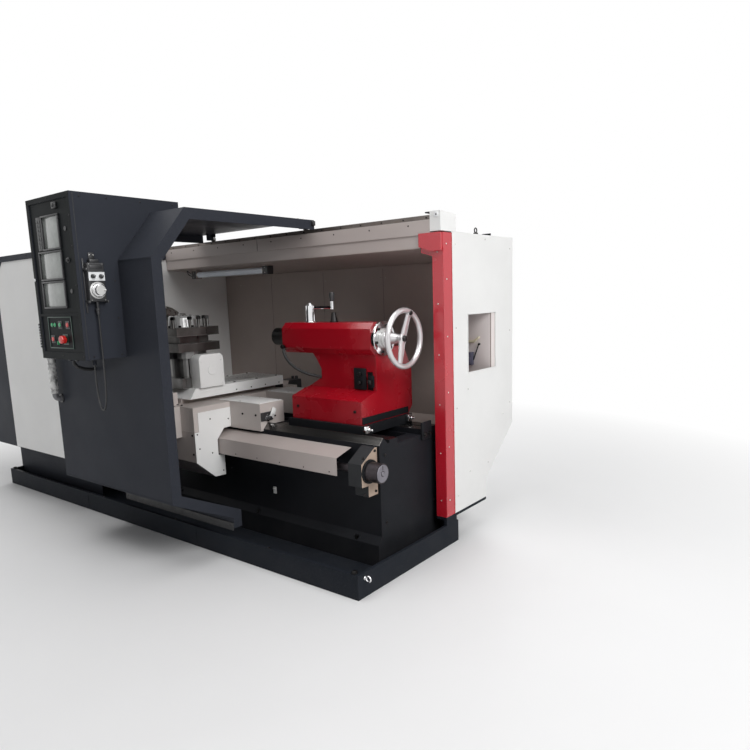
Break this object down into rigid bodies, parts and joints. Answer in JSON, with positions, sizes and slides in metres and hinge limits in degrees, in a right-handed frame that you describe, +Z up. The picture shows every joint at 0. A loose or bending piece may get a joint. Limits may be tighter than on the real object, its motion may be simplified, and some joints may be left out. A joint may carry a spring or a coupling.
{
  "type": "cnc turning lathe",
  "caption": "Long flat-bed CNC turning lathe with a sliding front hood and console, four-way tool post, chuck, and tailstock with handwheel, standing on a chip tray.",
  "frame": {"origin": "middle of the chip tray's underside, on the floor", "axes": "+X along the spindle from the headstock to the tailstock, +Y to the rear, +Z up"},
  "size_m": [3.6, 2.157, 1.908],
  "materials": {
    "slate_paint": "satin",
    "white_paint": "satin",
    "red_paint": "gloss",
    "cream_paint": "satin",
    "black_casting": "satin",
    "dark_rail": "satin",
    "steel": "satin",
    "dark_steel": "satin",
    "chrome": "polished",
    "rubber": "matte",
    "tan_primer": "matte",
    "lamp_glass": "gloss",
    "black_plastic": "matte",
    "red_plastic": "gloss",
    "green_plastic": "gloss",
    "grey_tube": "gloss"
  },
  "bodies": {
    "machine": {"base_tray": "slate_paint", "bed": "black_casting", "headstock_casting": "black_casting", "spindle_bearing": "dark_steel", "headstock_cover": "white_paint", "left_end_guard": "slate_paint", "rear_sill": "slate_paint", "main_motor": "slate_paint", "drive_belt": "rubber", "z_servo_motor": "black_plastic", "screw_end_bracket": "tan_primer", "screw_cover": "cream_paint", "header_beam": "cream_paint", "guide_rail": "dark_rail", "header_end_block": "white_paint", "corner_post": "red_paint", "right_side_panel": "white_paint", "rear_cover": "white_paint", "back_wall": "cream_paint", "soffit_panel": "cream_paint", "lamp_tube": "lamp_glass", "electrical_cabinet": "cream_paint"},
    "cabinet_door": {"cabinet_door": "cream_paint"},
    "hood": {"sliding_hood": "slate_paint", "console_box": "slate_paint", "hood_handle": "grey_tube", "pendant_body": "black_plastic", "pendant_cable": "rubber"},
    "left_roller": {"door_roller_left": "dark_steel"},
    "right_roller": {"door_roller_right": "dark_steel"},
    "emergency_stop": {"emergency_stop": "red_plastic"},
    "start_button": {"start_button": "green_plastic"},
    "stop_button": {"stop_button": "red_plastic"},
    "feed_hold_button": {"feed_hold_button": "red_plastic"},
    "pendant_wheel": {"pendant_wheel": "chrome"},
    "pendant_knob_1": {"pendant_knob_1": "black_plastic"},
    "pendant_knob_2": {"pendant_knob_2": "black_plastic"},
    "z_screw": {"z_screw": "steel"},
    "carriage": {"saddle": "white_paint", "apron": "white_paint", "ball_nut": "steel", "carriage_end_guard": "white_paint", "x_servo_motor": "black_plastic"},
    "x_screw": {"x_screw": "steel"},
    "cross_slide": {"cross_slide": "white_paint", "turret_base": "steel"},
    "tool_post": {"tool_post": "dark_steel", "turret_cap": "chrome"},
    "spindle": {"spindle": "steel", "chuck_body": "steel"},
    "jaw_1": {"chuck_jaw_1": "dark_steel"},
    "jaw_2": {"chuck_jaw_2": "dark_steel"},
    "jaw_3": {"chuck_jaw_3": "dark_steel"},
    "motor_pulley": {"motor_pulley": "dark_steel"},
    "tailstock": {"tailstock_base": "black_casting", "tailstock_casting": "red_paint", "screw_flange": "chrome"},
    "quill": {"quill": "dark_steel"},
    "handwheel": {"handwheel": "chrome"},
    "clamp_lever": {"clamp_lever": "chrome"}
  },
  "joints": [
    {"name": "hood_slide", "type": "slide", "parent": "machine", "child": "hood", "axis": [1, 0, 0], "range_m": [-1.15, 0.79]},
    {"name": "left_roller_turn", "type": "hinge", "parent": "hood", "child": "left_roller", "pos_m": [-0.06, 0.346, 1.8066], "axis": [0, 1, 0], "range_deg": [-4200, 2900]},
    {"name": "right_roller_turn", "type": "hinge", "parent": "hood", "child": "right_roller", "pos_m": [0.819, 0.346, 1.8066], "axis": [0, 1, 0], "range_deg": [-4200, 2900]},
    {"name": "emergency_stop_push", "type": "slide", "parent": "hood", "child": "emergency_stop", "axis": [0, 1, 0], "range_m": [0, 0.004]},
    {"name": "start_push", "type": "slide", "parent": "hood", "child": "start_button", "axis": [0, 1, 0], "range_m": [0, 0.003], "stiffness_N_per_m": 400},
    {"name": "stop_push", "type": "slide", "parent": "hood", "child": "stop_button", "axis": [0, 1, 0], "range_m": [0, 0.003], "stiffness_N_per_m": 400},
    {"name": "feed_hold_push", "type": "slide", "parent": "hood", "child": "feed_hold_button", "axis": [0, 1, 0], "range_m": [0, 0.003], "stiffness_N_per_m": 400},
    {"name": "pendant_wheel_turn", "type": "hinge", "parent": "hood", "child": "pendant_wheel", "pos_m": [0.6626, -0.927, 1.455], "axis": [1, 0, 0], "continuous": true},
    {"name": "pendant_knob_1_turn", "type": "hinge", "parent": "hood", "child": "pendant_knob_1", "pos_m": [0.6626, -0.947, 1.52], "axis": [1, 0, 0], "range_deg": [-60, 60]},
    {"name": "pendant_knob_2_turn", "type": "hinge", "parent": "hood", "child": "pendant_knob_2", "pos_m": [0.6626, -0.907, 1.52], "axis": [1, 0, 0], "range_deg": [-45, 45]},
    {"name": "carriage_slide", "type": "slide", "parent": "machine", "child": "carriage", "axis": [1, 0, 0], "range_m": [-0.45, 0.03]},
    {"name": "z_screw_turn", "type": "hinge", "parent": "machine", "child": "z_screw", "pos_m": [0.17, -0.195, 0.54], "axis": [1, 0, 0], "range_deg": [-16300, 1100]},
    {"name": "cross_slide_move", "type": "slide", "parent": "carriage", "child": "cross_slide", "axis": [0, 1, 0], "range_m": [-0.02, 0.25]},
    {"name": "x_screw_turn", "type": "hinge", "parent": "carriage", "child": "x_screw", "pos_m": [0.313, 0.1, 0.77], "axis": [0, 1, 0], "range_deg": [-1450, 18100]},
    {"name": "tool_post_index", "type": "hinge", "parent": "cross_slide", "child": "tool_post", "pos_m": [0.313, -0.223, 1.1], "axis": [0, 0, 1], "continuous": true},
    {"name": "spindle_turn", "type": "hinge", "parent": "machine", "child": "spindle", "pos_m": [-0.56, 0.16, 1.162], "axis": [1, 0, 0], "continuous": true},
    {"name": "motor_pulley_turn", "type": "hinge", "parent": "machine", "child": "motor_pulley", "pos_m": [-1.6, 0.66, 0.46], "axis": [1, 0, 0], "continuous": true},
    {"name": "jaw_1_slide", "type": "slide", "parent": "spindle", "child": "jaw_1", "axis": [0, 0, 1], "range_m": [-0.02, 0.03]},
    {"name": "jaw_2_slide", "type": "slide", "parent": "spindle", "child": "jaw_2", "axis": [0, -0.866, -0.5], "range_m": [-0.02, 0.03]},
    {"name": "jaw_3_slide", "type": "slide", "parent": "spindle", "child": "jaw_3", "axis": [0, 0.866, -0.5], "range_m": [-0.02, 0.03]},
    {"name": "tailstock_slide", "type": "slide", "parent": "machine", "child": "tailstock", "axis": [1, 0, 0], "range_m": [-0.03, 0.15]},
    {"name": "handwheel_turn", "type": "hinge", "parent": "tailstock", "child": "handwheel", "pos_m": [1.663, 0.16, 1.162], "axis": [1, 0, 0], "range_deg": [-3600, 4500]},
    {"name": "quill_slide", "type": "slide", "parent": "tailstock", "child": "quill", "axis": [-1, 0, 0], "range_m": [-0.081, 0.101]},
    {"name": "clamp_lever_turn", "type": "hinge", "parent": "tailstock", "child": "clamp_lever", "pos_m": [1.005, 0.16, 1.248], "axis": [0, 0, 1], "range_deg": [-60, 90]},
    {"name": "cabinet_door_turn", "type": "hinge", "parent": "machine", "child": "cabinet_door", "pos_m": [-1.778, 1.128, 0.9], "axis": [0, 0, 1], "range_deg": [0, 110]}
  ],
  "couplings": [
    {"joint": "left_roller_turn", "follows": "hood_slide", "rad_per_m": 62.5},
    {"joint": "right_roller_turn", "follows": "hood_slide", "rad_per_m": 62.5},
    {"joint": "z_screw_turn", "follows": "carriage_slide", "rad_per_m": 628.32},
    {"joint": "x_screw_turn", "follows": "cross_slide_move", "rad_per_m": 1256.6},
    {"joint": "motor_pulley_turn", "follows": "spindle_turn", "ratio": 2},
    {"joint": "jaw_2_slide", "follows": "jaw_1_slide", "ratio": 1},
    {"joint": "jaw_3_slide", "follows": "jaw_1_slide", "ratio": 1},
    {"joint": "quill_slide", "follows": "handwheel_turn", "m_per_rad": 0.0012732}
  ]
}
